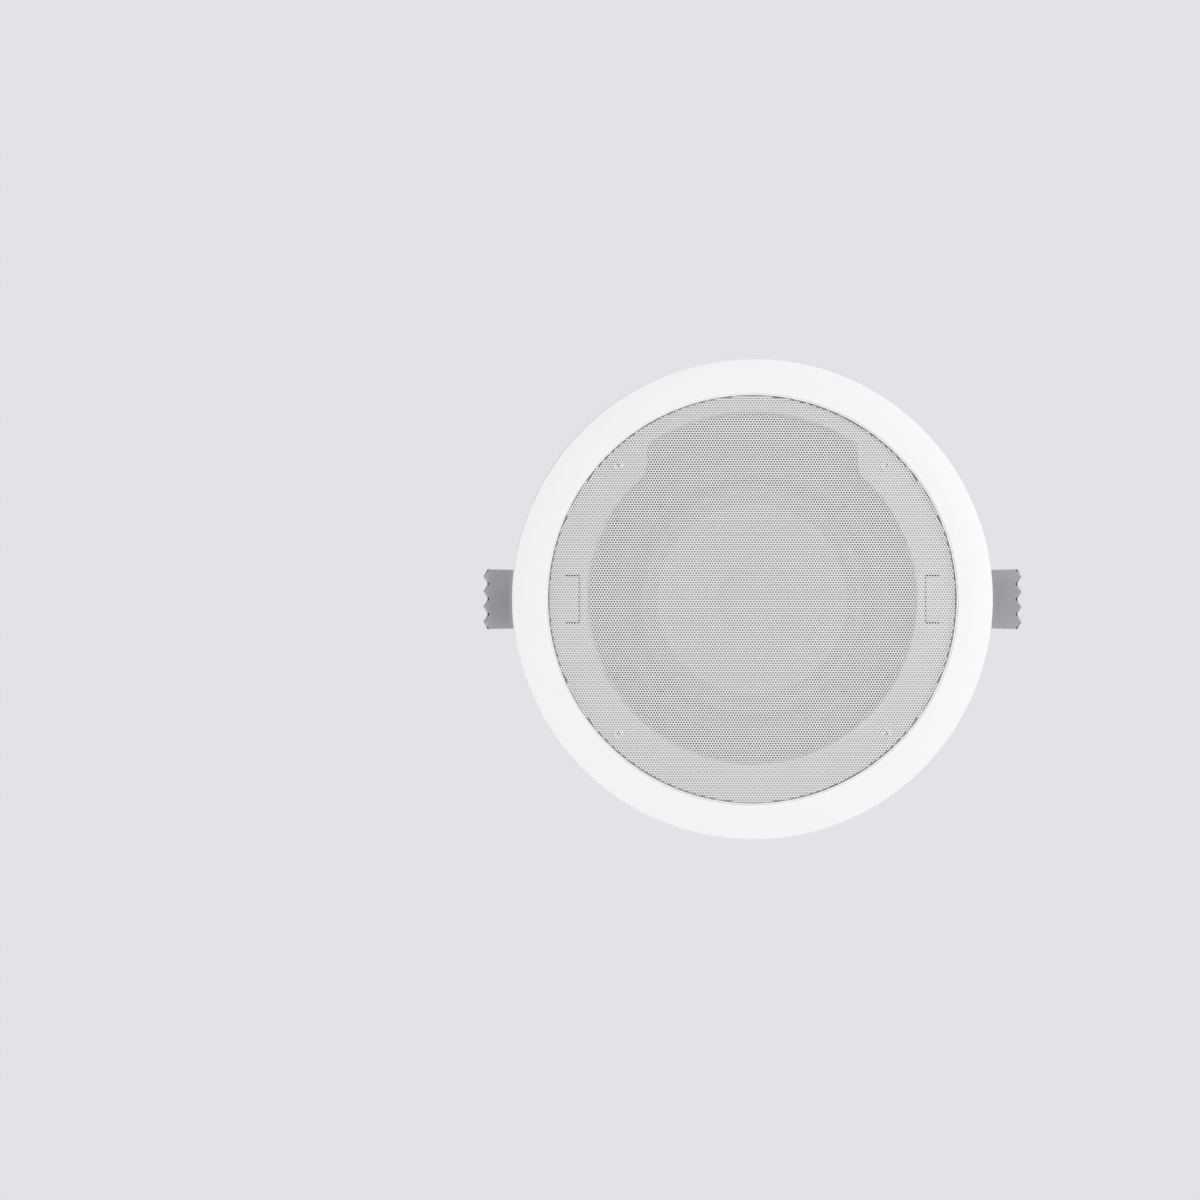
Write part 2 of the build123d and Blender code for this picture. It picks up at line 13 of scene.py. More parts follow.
import bpy
import numpy as np
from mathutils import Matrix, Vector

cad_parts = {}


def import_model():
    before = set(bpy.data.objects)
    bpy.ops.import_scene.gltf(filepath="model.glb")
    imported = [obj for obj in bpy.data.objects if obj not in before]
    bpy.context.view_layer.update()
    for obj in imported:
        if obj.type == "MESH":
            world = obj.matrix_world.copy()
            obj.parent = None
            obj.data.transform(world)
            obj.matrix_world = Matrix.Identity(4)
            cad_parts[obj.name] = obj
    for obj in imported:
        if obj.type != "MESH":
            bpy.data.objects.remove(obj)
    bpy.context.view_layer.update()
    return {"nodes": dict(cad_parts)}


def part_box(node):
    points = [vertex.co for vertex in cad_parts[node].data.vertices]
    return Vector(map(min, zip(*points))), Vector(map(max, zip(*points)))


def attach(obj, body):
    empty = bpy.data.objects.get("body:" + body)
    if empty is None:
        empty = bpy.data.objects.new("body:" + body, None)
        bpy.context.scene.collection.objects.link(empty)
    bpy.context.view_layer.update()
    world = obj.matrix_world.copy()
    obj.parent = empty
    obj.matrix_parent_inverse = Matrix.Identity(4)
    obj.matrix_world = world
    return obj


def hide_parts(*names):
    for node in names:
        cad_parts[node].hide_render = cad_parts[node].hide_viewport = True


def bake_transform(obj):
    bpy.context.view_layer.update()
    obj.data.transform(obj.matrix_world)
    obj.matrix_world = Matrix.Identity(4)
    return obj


LOG = logging.getLogger("ceiling_speaker")
MM = 0.001
PHOTO_SIZE = 1200
SENSOR = 36.0
GLOSS_SPREAD = 0.08
LEAST_ROUGHNESS = 0.05
BEVEL_SAMPLES = 6
DIAGONALS = (45.0, 135.0, 225.0, 315.0)
BAFFLE_SCREW_ANGLES = (30.0, 150.0, 210.0, 330.0)


class Grain(Enum):
    """Surface grain of a finish, named for how the surface was made."""

    MOULDED = "moulded"
    POWDER = "powder"
    ROLLED = "rolled"
    PULP = "pulp"
    CLOTH = "cloth"


@dataclass(frozen=True)
class GrainShape:
    """Size and direction of one grain.

    Attributes:
        scale: Noise cells in a metre.
        stretch: How much longer the cells are along each axis.
        detail: Octaves of the noise.
        blotch: Cells in a metre of the broad, soft variation under the grain.
    """

    scale: float
    stretch: tuple[float, float, float]
    detail: float
    blotch: float


GRAINS: dict[Grain, GrainShape] = {
    Grain.MOULDED: GrainShape(3200.0, (1.0, 1.0, 1.0), 3.0, 22.0),
    Grain.POWDER: GrainShape(2400.0, (1.0, 1.0, 1.0), 2.0, 30.0),
    Grain.ROLLED: GrainShape(1500.0, (1.0, 1.0, 22.0), 4.0, 60.0),
    Grain.PULP: GrainShape(900.0, (1.0, 1.0, 1.0), 6.0, 70.0),
    Grain.CLOTH: GrainShape(1900.0, (1.0, 1.0, 1.0), 2.0, 80.0),
}


def grain_group() -> bpy.types.ShaderNodeTree:
    """Build the shared grain group: fine noise on top of a broad soft mottle.

    Returns:
        A node group that takes a position and puts out a tone from 0 to 1 and a height from 0 to 1.
    """
    group = bpy.data.node_groups.new("SurfaceGrain", "ShaderNodeTree")
    group.interface.new_socket("Position", in_out="INPUT", socket_type="NodeSocketVector")
    for name, value in (("Scale", 1000.0), ("Detail", 3.0), ("Blotch", 30.0), ("Mix", 0.5)):
        socket = group.interface.new_socket(name, in_out="INPUT", socket_type="NodeSocketFloat")
        socket.default_value = value
    for name in ("Tone", "Height"):
        group.interface.new_socket(name, in_out="OUTPUT", socket_type="NodeSocketFloat")
    nodes, links = group.nodes, group.links
    entry = nodes.new("NodeGroupInput")
    leave = nodes.new("NodeGroupOutput")
    fine = nodes.new("ShaderNodeTexNoise")
    broad = nodes.new("ShaderNodeTexNoise")
    broad.inputs["Detail"].default_value = 2.0
    blend = nodes.new("ShaderNodeMix")
    blend.data_type = "FLOAT"
    links.new(entry.outputs["Position"], fine.inputs["Vector"])
    links.new(entry.outputs["Position"], broad.inputs["Vector"])
    links.new(entry.outputs["Scale"], fine.inputs["Scale"])
    links.new(entry.outputs["Detail"], fine.inputs["Detail"])
    links.new(entry.outputs["Blotch"], broad.inputs["Scale"])
    links.new(entry.outputs["Mix"], blend.inputs["Factor"])
    links.new(broad.outputs["Fac"], blend.inputs["A"])
    links.new(fine.outputs["Fac"], blend.inputs["B"])
    links.new(blend.outputs["Result"], leave.inputs["Tone"])
    links.new(fine.outputs["Fac"], leave.inputs["Height"])
    return group


@dataclass(frozen=True)
class Finish:
    """One surface finish: its colour, gloss and grain.

    Attributes:
        name: Material name.
        color: Linear base colour.
        roughness: Middle roughness.
        metallic: 1 for bare metal, 0 for the rest.
        grain: How the surface was made.
        tone: Share by which the colour varies over the grain.
        bump: Height of the grain in metres.
        round: Radius in metres by which sharp edges are softened.
        back: Linear colour of the back of a single sheet, where it differs.
    """

    name: str
    color: tuple[float, float, float]
    roughness: float
    metallic: float
    grain: Grain
    tone: float = 0.04
    bump: float = 0.00001
    round: float = 0.0003
    back: tuple[float, float, float] | None = None

    def material(self, group: bpy.types.ShaderNodeTree) -> bpy.types.Material:
        """Make the material of this finish.

        Args:
            group: The shared grain group.

        Returns:
            A node material on Object coordinates.
        """
        shape = GRAINS[self.grain]
        material = bpy.data.materials.new(self.name)
        material.use_nodes = True
        nodes, links = material.node_tree.nodes, material.node_tree.links
        shader = nodes["Principled BSDF"]
        shader.inputs["Metallic"].default_value = self.metallic
        place = nodes.new("ShaderNodeTexCoord")
        stretch = nodes.new("ShaderNodeMapping")
        stretch.inputs["Scale"].default_value = tuple(1.0 / s for s in shape.stretch)
        grain = nodes.new("ShaderNodeGroup")
        grain.node_tree = group
        grain.inputs["Scale"].default_value = shape.scale
        grain.inputs["Detail"].default_value = shape.detail
        grain.inputs["Blotch"].default_value = shape.blotch
        links.new(place.outputs["Object"], stretch.inputs["Vector"])
        links.new(stretch.outputs["Vector"], grain.inputs["Position"])
        color = nodes.new("ShaderNodeMix")
        color.data_type = "RGBA"
        color.name = "Body Colour"
        color.inputs["A"].default_value = (*(c * (1.0 - self.tone) for c in self.color), 1.0)
        color.inputs["B"].default_value = (*(min(c * (1.0 + self.tone), 1.0) for c in self.color), 1.0)
        links.new(grain.outputs["Tone"], color.inputs["Factor"])
        links.new(color.outputs["Result"], shader.inputs["Base Color"])
        if self.back is not None:
            facing = nodes.new("ShaderNodeNewGeometry")
            sides = nodes.new("ShaderNodeMix")
            sides.data_type = "RGBA"
            sides.inputs["B"].default_value = (*self.back, 1.0)
            links.new(facing.outputs["Backfacing"], sides.inputs["Factor"])
            links.new(color.outputs["Result"], sides.inputs["A"])
            links.new(sides.outputs["Result"], shader.inputs["Base Color"])
        gloss = nodes.new("ShaderNodeMapRange")
        gloss.inputs["To Min"].default_value = max(self.roughness - GLOSS_SPREAD, LEAST_ROUGHNESS)
        gloss.inputs["To Max"].default_value = min(self.roughness + GLOSS_SPREAD, 1.0)
        links.new(grain.outputs["Tone"], gloss.inputs["Value"])
        links.new(gloss.outputs["Result"], shader.inputs["Roughness"])
        bump = nodes.new("ShaderNodeBump")
        bump.inputs["Distance"].default_value = self.bump
        links.new(grain.outputs["Height"], bump.inputs["Height"])
        if self.round > 0.0:
            bevel = nodes.new("ShaderNodeBevel")
            bevel.samples = BEVEL_SAMPLES
            bevel.inputs["Radius"].default_value = self.round
            links.new(bevel.outputs["Normal"], bump.inputs["Normal"])
        links.new(bump.outputs["Normal"], shader.inputs["Normal"])
        return material


WHITE_FRAME = Finish("white_moulded_frame", (0.90, 0.90, 0.90), 0.55, 0.0, Grain.MOULDED, 0.01, 0.000006, 0.0)
WHITE_GRILLE = Finish("white_powder_grille", (0.95, 0.95, 0.95), 0.5, 0.0, Grain.POWDER, 0.01, 0.000006, 0.0,
                      (0.05, 0.05, 0.05))
WHITE_BOX = Finish("white_moulded_box", (0.88, 0.88, 0.88), 0.48, 0.0, Grain.MOULDED, 0.012, 0.000012, 0.0)
BAFFLE = Finish("grey_baffle", (0.15, 0.15, 0.15), 0.6, 0.0, Grain.MOULDED, 0.03)
ZINC = Finish("zinc_plate", (0.72, 0.73, 0.74), 0.34, 0.9, Grain.ROLLED, 0.08, 0.000004)
BRACKET = Finish("galvanised_sheet", (0.72, 0.73, 0.73), 0.36, 0.85, Grain.ROLLED, 0.08, 0.000004, 0.0004)
ARM = Finish("spring_sheet", (0.71, 0.72, 0.735), 0.45, 0.72, Grain.ROLLED, 0.08, 0.000004, 0.0003)
DULL_SCREW = Finish("phosphated_screw", (0.15, 0.15, 0.15), 0.7, 0.0, Grain.POWDER, 0.05)
WIRE = Finish("spring_wire", (0.45, 0.45, 0.46), 0.3, 1.0, Grain.ROLLED, 0.06, 0.000002, 0.0)
BASKET = Finish("basket_paint", (0.18, 0.18, 0.18), 0.5, 0.0, Grain.POWDER, 0.03)
GASKET = Finish("gasket_foam", (0.17, 0.17, 0.17), 0.9, 0.0, Grain.PULP, 0.10, 0.00004)
SURROUND = Finish("surround_rubber", (0.25, 0.25, 0.25), 0.75, 0.0, Grain.MOULDED, 0.04, 0.000008, 0.0)
CONE = Finish("pressed_pulp", (0.35, 0.35, 0.35), 0.85, 0.0, Grain.PULP, 0.08, 0.00003)
FORMER = Finish("kraft_former", (0.45, 0.32, 0.18), 0.7, 0.0, Grain.PULP, 0.12)
COPPER = Finish("enamelled_copper", (0.62, 0.28, 0.14), 0.35, 1.0, Grain.ROLLED, 0.10)
SPIDER = Finish("treated_cotton", (0.62, 0.47, 0.22), 0.9, 0.0, Grain.CLOTH, 0.14, 0.00005, 0.0)
PLATE = Finish("plated_iron", (0.60, 0.61, 0.63), 0.32, 1.0, Grain.ROLLED, 0.08)
FERRITE = Finish("fired_ferrite", (0.05, 0.05, 0.055), 0.75, 0.0, Grain.PULP, 0.20, 0.00002)
CORE = Finish("varnished_core", (0.16, 0.16, 0.18), 0.45, 0.8, Grain.ROLLED, 0.20)
WINDING = Finish("winding_tape", (0.66, 0.48, 0.10), 0.35, 0.0, Grain.ROLLED, 0.06)
TERMINAL = Finish("terminal_plastic", (0.74, 0.76, 0.78), 0.5, 0.0, Grain.MOULDED, 0.03)
PLUG = Finish("plug_rubber", (0.62, 0.62, 0.62), 0.8, 0.0, Grain.MOULDED, 0.05)
PALE_FLOOR = Finish("pale_floor", (0.77, 0.76, 0.80), 0.9, 0.0, Grain.POWDER, 0.01, 0.00001, 0.0)

NODE_FINISHES: dict[str, Finish] = {
    "frame_nuts": ZINC,
    "right_bracket": BRACKET,
    "left_bracket": BRACKET,
    "right_pivot_pin": ZINC,
    "left_pivot_pin": ZINC,
    "baffle_plate": BAFFLE,
    "driver_basket": BASKET,
    "driver_gasket": GASKET,
    "cone": CONE,
    "dust_cap": CONE,
    "coil_former": FORMER,
    "voice_coil": COPPER,
    "top_plate": PLATE,
    "pole_yoke": PLATE,
    "magnet": FERRITE,
    "transformer_core": CORE,
    "transformer_winding": WINDING,
    "transformer_strap": ZINC,
    "terminal_block": TERMINAL,
    "cable_plug": PLUG,
}


class Workshop:
    """Makes each finish once and keeps the shared grain group."""

    def __init__(self) -> None:
        """Start with the grain group and no materials."""
        self.group = grain_group()
        self.made: dict[str, bpy.types.Material] = {}

    def material(self, finish: Finish) -> bpy.types.Material:
        """Give the material of a finish, made on first use.

        Args:
            finish: The finish wanted.

        Returns:
            Its material.
        """
        if finish.name not in self.made:
            self.made[finish.name] = finish.material(self.group)
        return self.made[finish.name]


def dress(node: bpy.types.Object, material: bpy.types.Material) -> None:
    """Put a material on every slot of a carried-over node.

    Args:
        node: The node's object.
        material: The material to put on.
    """
    for slot in node.material_slots:
        slot.material = material
    LOG.info("dressed %s in %s", node.name, material.name)


def add_mesh(
    name: str, points: np.ndarray, faces: np.ndarray, extra: np.ndarray | None = None
) -> bpy.types.Object:
    """Put arrays into a new smooth mesh object at the origin.

    Args:
        name: Object and mesh name.
        points: Vertex places, one row each, in metres.
        faces: Vertex numbers of the faces, one row each.
        extra: Faces of another size, if there are any.

    Returns:
        The linked object.
    """
    rows = faces.tolist() + ([] if extra is None else extra.tolist())
    mesh = bpy.data.meshes.new(name)
    mesh.from_pydata(points.reshape(-1, 3).tolist(), [], rows)
    mesh.polygons.foreach_set("use_smooth", np.ones(len(mesh.polygons), dtype=bool))
    mesh.update()
    piece = bpy.data.objects.new(name, mesh)
    bpy.context.scene.collection.objects.link(piece)
    return piece


def grid_faces(rows: int, columns: int, wrap_rows: bool, wrap_columns: bool, first: int = 0) -> np.ndarray:
    """Number the quads of a grid of points.

    Args:
        rows: Points along the first parameter.
        columns: Points along the second parameter.
        wrap_rows: Whether the last row joins the first.
        wrap_columns: Whether the last column joins the first.
        first: Number of the grid's first point.

    Returns:
        Vertex numbers, four to a row.
    """
    i = np.arange(rows if wrap_rows else rows - 1)[:, None]
    j = np.arange(columns if wrap_columns else columns - 1)[None, :]
    ni, nj = (i + 1) % rows, (j + 1) % columns
    corners = (i * columns + j, i * columns + nj, ni * columns + nj, ni * columns + j)
    return first + np.stack([np.broadcast_to(c, (i.size, j.size)) for c in corners], axis=-1).reshape(-1, 4)


def turned(profile: np.ndarray, turns: int) -> np.ndarray:
    """Carry a half section round the Z axis: x = r cos a, y = r sin a, z = z.

    Args:
        profile: Radius and height of each point of the section.
        turns: Points round the axis.

    Returns:
        Points as an array of angle by section by coordinate.
    """
    angle = np.linspace(0.0, 2.0 * math.pi, turns, endpoint=False)[:, None]
    radius, height = profile[:, 0][None, :], profile[:, 1][None, :]
    return np.stack([radius * np.cos(angle), radius * np.sin(angle), height + 0.0 * angle], axis=-1)


@dataclass
class Grille:
    """The domed perforated sheet: a hexagonal lattice of holes on a sphere, with a rolled rim.

    Attributes:
        pitch: Distance between neighbouring holes.
        hole: Diameter of a hole.
        dome: Rise of the dome from its edge to its crown.
        margin: Plain width outside the last holes.
        edge: Radius of the rolled edge.
        lap: Width of the rim's lap behind the sheet.
        sink: How far the lap lies behind the sheet.
        spring: How far the rim springs out against the bezel's lip.
        rim_turns: Points round the rim.
        lap_points: Points across the lap.
        edge_points: Points round the rolled edge.
    """

    pitch: float = 1.30 * MM
    hole: float = 1.03 * MM
    dome: float = 4.5 * MM
    margin: float = 0.12 * MM
    edge: float = 0.35 * MM
    lap: float = 0.25 * MM
    sink: float = 0.05 * MM
    spring: float = 0.12 * MM
    rim_turns: int = 240
    lap_points: int = 5
    edge_points: int = 6

    def surface(self, reach: np.ndarray, crown: float, radius: float) -> np.ndarray:
        """Height of the dome: a sphere through the crown and the edge.

        Args:
            reach: Distances from the axis.
            crown: Height of the lowest point, on the axis.
            radius: Radius of the grille.

        Returns:
            Heights at those distances.
        """
        span = radius - self.edge
        sphere = (span**2 + self.dome**2) / (2.0 * self.dome)
        return crown + sphere - np.sqrt(sphere**2 - reach**2)

    def lattice(self, limit: float) -> tuple[np.ndarray, np.ndarray, np.ndarray]:
        """Lay out the holes as rows a pitch apart, every other row set over by half a pitch.

        Each hole is a hexagon whose sides face its six neighbours. A quad joins each pair of facing sides,
        and a triangle closes the space between three holes.

        Args:
            limit: Largest distance of a hole's middle from the axis.

        Returns:
            Plan points, quads and triangles.
        """
        row_step = self.pitch * math.sqrt(3.0) / 2.0
        count = int(limit / row_step) + 2
        row, column = np.meshgrid(
            np.arange(-count, count + 1), np.arange(-count - 2, count + 3), indexing="ij"
        )
        shift = row & 1
        x = self.pitch * (column + 0.5 * shift)
        y = row_step * row
        inside = np.hypot(x, y) < limit
        number = np.full(inside.shape, -1)
        number[inside] = np.arange(inside.sum())
        corner = np.radians(30.0 + 60.0 * np.arange(6))
        reach = self.hole / 2.0
        plan_x = x[inside][:, None] + reach * np.cos(corner)
        plan_y = y[inside][:, None] + reach * np.sin(corner)
        rows, columns = number.shape
        padded = np.full((rows + 1, columns + 2), -1)
        padded[:rows, 1:-1] = number
        here = number
        base_row, base_column = np.indices(here.shape)
        east = padded[base_row, base_column + 2]
        north_east = padded[base_row + 1, base_column + 1 + shift]
        north_west = padded[base_row + 1, base_column + shift]

        def join(parts: list[tuple[np.ndarray, int]]) -> np.ndarray:
            """Number the faces whose holes all exist, turned to face down."""
            real = np.logical_and.reduce([p >= 0 for p, _ in parts])
            return np.stack([6 * p[real] + k for p, k in parts], axis=-1)[:, ::-1]

        quads = np.concatenate([
            join([(here, 5), (east, 3), (east, 2), (here, 0)]),
            join([(here, 0), (north_east, 4), (north_east, 3), (here, 1)]),
            join([(here, 1), (north_west, 5), (north_west, 4), (here, 2)]),
        ])
        triangles = np.concatenate([
            join([(here, 0), (east, 2), (north_east, 4)]),
            join([(here, 1), (north_east, 3), (north_west, 5)]),
        ])
        return np.stack([plan_x, plan_y], axis=-1).reshape(-1, 2), quads, triangles

    def rim(self, crown: float, radius: float, foot: float) -> np.ndarray:
        """Section of the rim: a lap behind the sheet, a quarter-round edge and a straight skirt.

        Args:
            crown: Height of the dome's lowest point.
            radius: Radius of the grille.
            foot: Height of the skirt's end.

        Returns:
            Radius and height of each section point.
        """
        lap = np.linspace(radius - self.edge - self.lap, radius - self.edge, self.lap_points)
        heights = self.surface(lap, crown, radius)
        heights[:-1] += self.sink
        turn = np.linspace(0.0, math.pi / 2.0, self.edge_points)[1:]
        level = heights[-1] + self.edge
        bend = np.stack([lap[-1] + self.edge * np.sin(turn), level - self.edge * np.cos(turn)], axis=-1)
        return np.concatenate([np.stack([lap, heights], axis=-1), bend, [[radius, foot]]])

    def build(self, shop: Workshop) -> bpy.types.Object:
        """Make the perforated sheet in place of the plain one.

        Args:
            shop: Where the finish comes from.

        Returns:
            The sheet's object.
        """
        low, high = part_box("grille")
        crown, foot, radius = low[2], high[2], high[0] + self.spring
        plan, quads, triangles = self.lattice(radius - self.margin - self.hole / 2.0)
        sheet = np.column_stack([plan, self.surface(np.hypot(plan[:, 0], plan[:, 1]), crown, radius)])
        section = self.rim(crown, radius, foot)
        band = turned(section, self.rim_turns)
        band_faces = grid_faces(self.rim_turns, len(section), True, False, len(sheet))[:, ::-1]
        points = np.concatenate([sheet, band.reshape(-1, 3)])
        piece = add_mesh("grille_sheet", points, np.concatenate([quads, band_faces]), triangles)
        piece.data.materials.append(shop.material(WHITE_GRILLE))
        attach(piece, "housing")
        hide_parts("grille")
        LOG.info("grille sheet with %d holes", len(plan) // 6)
        return piece


@dataclass
class ClampArm:
    """One clamping arm with its torsion spring.

    Attributes:
        side: right or left, as in the node names.
        sign: 1 on the +X side, -1 on the -X side.
        pivot: Height of the pivot above the ceiling face.
        setback: Distance of the pivot from the bracket's back.
        wire: Diameter of the spring wire.
        coil: Mean radius of the coil.
        width: Length of the coil along the pin.
        turns: Turns of the coil.
        lean: Angle of the arm from the speaker's axis, in degrees.
        arm_leg: Length of the leg on the arm.
        bracket_leg: Length of the leg on the bracket.
        slant: Angle of the leg on the bracket, in degrees.
        turn_steps: Points in a turn of the coil.
        leg_steps: Points along a leg.
        wire_sides: Points round the wire.
    """

    side: str
    sign: float
    pivot: float = 47.2 * MM
    setback: float = 5.8 * MM
    wire: float = 0.7 * MM
    coil: float = 1.9 * MM
    width: float = 16.0 * MM
    turns: int = 20
    lean: float = 62.4
    arm_leg: float = 14.0 * MM
    bracket_leg: float = 9.0 * MM
    slant: float = 10.0
    turn_steps: int = 24
    leg_steps: int = 8
    wire_sides: int = 10

    def half_length(self) -> float:
        """Distance of the coil's end turns from its middle, along the pin."""
        return (self.width - self.wire) / 2.0

    def path(self, reach: float) -> np.ndarray:
        """Middle line of the spring: a straight leg, a helix along the pin and another straight leg.

        The helix is pivot + coil (cos t, sin t) in the plane of the arm, while it advances along the pin.

        Args:
            reach: Distance of the pivot from the speaker's axis.

        Returns:
            Points for the +X side.
        """
        end = self.half_length()
        start_angle = math.radians(180.0 + self.slant)
        stop_angle = math.radians(180.0 + self.lean + 360.0 * self.turns)
        t = np.linspace(start_angle, stop_angle, self.turns * self.turn_steps + 1)
        along_pin = np.linspace(-end, end, t.size)
        helix = np.stack(
            [reach + self.coil * np.cos(t), along_pin, self.pivot + self.coil * np.sin(t)], axis=-1
        )
        first = np.array([math.sin(start_angle), 0.0, -math.cos(start_angle)])
        last = np.array([-math.sin(stop_angle), 0.0, math.cos(stop_angle)])
        inward = np.linspace(self.bracket_leg, 0.0, self.leg_steps, endpoint=False)[:, None]
        outward = np.linspace(0.0, self.arm_leg, self.leg_steps + 1)[1:, None]
        return np.concatenate([helix[0] + first * inward, helix, helix[-1] + last * outward])

    def spring(self, shop: Workshop) -> bpy.types.Object:
        """Wind the wire of the torsion spring round its path, in place of the plain sleeve.

        A ring of points stands square to the path at each step, in the directions that the pin's axis gives.

        Args:
            shop: Where the finish comes from.

        Returns:
            The spring's object.
        """
        low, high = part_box(f"{self.side}_bracket")
        reach = min(abs(low[0]), abs(high[0])) + self.setback
        line = self.path(reach)
        heading = np.gradient(line, axis=0)
        heading /= np.linalg.norm(heading, axis=1, keepdims=True)
        pin = np.array([0.0, 1.0, 0.0])
        across = pin - heading * (heading @ pin)[:, None]
        across /= np.linalg.norm(across, axis=1, keepdims=True)
        other = np.cross(heading, across)
        sides = self.wire_sides
        angle = np.linspace(0.0, 2.0 * math.pi, sides, endpoint=False)[None, :, None]
        ring = np.cos(angle) * across[:, None, :] + np.sin(angle) * other[:, None, :]
        skin = line[:, None, :] + self.wire / 2.0 * ring
        tips = np.stack([line[0], line[-1]])
        points = np.concatenate([skin.reshape(-1, 3), tips])
        points[:, :2] *= self.sign
        faces = grid_faces(len(line), sides, False, True)
        last = len(line) * sides
        around = np.arange(sides)
        after = (around + 1) % sides
        caps = np.concatenate([
            np.stack([after, around, np.full(sides, last)], axis=-1),
            np.stack([last - sides + around, last - sides + after, np.full(sides, last + 1)], axis=-1),
        ])
        piece = add_mesh(f"{self.side}_spring_coil", points, faces, caps)
        piece.data.materials.append(shop.material(WIRE))
        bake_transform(piece)
        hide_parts(f"{self.side}_torsion_spring")
        LOG.info("%s spring with %d turns", self.side, self.turns)
        return piece


@dataclass
class SoftRing:
    """A turned soft ring of the driver, hung between the housing and the cone.

    Attributes:
        name: Name of the new piece.
        node: The plain ring that it replaces.
        slot: Name of a material slot; not used.
        sheet: Thickness.
        waves: Half waves across the working width.
        rise: Height of a half wave, towards the grille.
        inner_lip: Flat width at the inner edge.
        outer_lip: Flat width at the outer edge.
        turns: Points round the axis.
        wave_steps: Points across a half wave.
    """

    name: str
    node: str
    slot: str
    sheet: float
    waves: int
    rise: float
    inner_lip: float
    outer_lip: float
    turns: int = 160
    wave_steps: int = 14

    def section(self, inner: float, outer: float, back: float) -> np.ndarray:
        """Closed half section: flat lips and half waves |sin| between them, given the sheet's thickness.

        Args:
            inner: Inner radius.
            outer: Outer radius.
            back: Height of the lips' back face.

        Returns:
            Radius and height of the section points, once round.
        """
        start, stop = inner + self.inner_lip, outer - self.outer_lip
        across = np.linspace(0.0, 1.0, self.wave_steps * self.waves + 1)
        wave = np.abs(np.sin(math.pi * self.waves * across)) * self.rise
        radius = np.concatenate([[inner], start + across * (stop - start), [outer]])
        height = back - np.concatenate([[0.0], wave, [0.0]])
        front = np.stack([radius, height - self.sheet], axis=-1)
        return np.concatenate([np.stack([radius, height], axis=-1), front[::-1]])

    def build(self, shop: Workshop, finish: Finish) -> bpy.types.Object:
        """Turn the ring's section round the axis, in place of the plain ring.

        Args:
            shop: Where the finish comes from.
            finish: The ring's finish.

        Returns:
            The ring's object.
        """
        _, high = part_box(self.node)
        section = self.section(self.inner_radius(), high[0], high[2])
        points = turned(section, self.turns)
        faces = grid_faces(self.turns, len(section), True, True)
        piece = add_mesh(self.name, points, faces)
        piece.data.materials.append(shop.material(finish))
        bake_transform(piece)
        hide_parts(self.node)
        LOG.info("%s replaces %s", self.name, self.node)
        return piece

    def inner_radius(self) -> float:
        """Inner radius of the plain ring, read from its mesh."""
        mesh = bpy.data.objects[self.node].data
        flat = np.empty(3 * len(mesh.vertices))
        mesh.vertices.foreach_get("co", flat)
        return float(np.hypot(flat[0::3], flat[1::3]).min())


